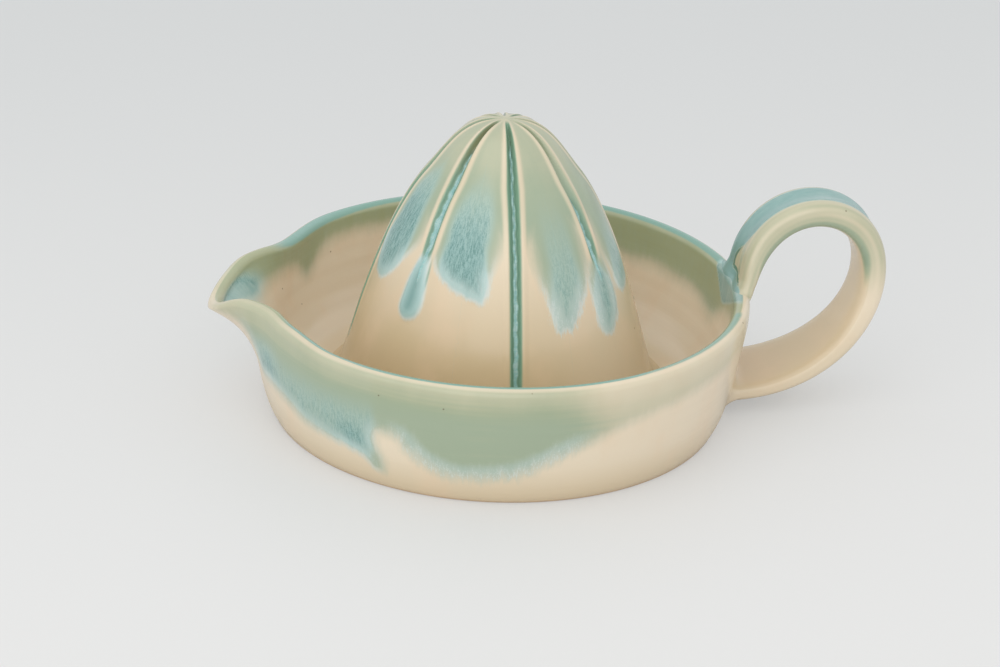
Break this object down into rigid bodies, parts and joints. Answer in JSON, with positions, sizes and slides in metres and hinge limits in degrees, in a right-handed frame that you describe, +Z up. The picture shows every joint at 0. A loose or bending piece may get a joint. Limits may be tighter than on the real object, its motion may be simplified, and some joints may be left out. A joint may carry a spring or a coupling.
{
  "type": "ceramic citrus juicer",
  "caption": "Hand-thrown glazed stoneware juicer: shallow dish with a pulled pouring spout, a fluted hollow reamer standing in it and a looped strap handle",
  "frame": {"origin": "On the table the juicer stands on, under the middle of its whole bounding box; the dish's own axis stands 15.4 mm towards -X from it", "axes": "+X runs from the dish to the handle, +Z is up, and the spout points to -X, turned 5 degrees towards +Y"},
  "size_m": [0.204, 0.15, 0.0918],
  "materials": {
    "dish_glaze": "glossy",
    "reamer_glaze": "glossy",
    "handle_glaze": "glossy"
  },
  "bodies": {
    "root": {"dish": "dish_glaze", "reamer": "reamer_glaze", "handle": "handle_glaze"}
  },
  "joints": []
}
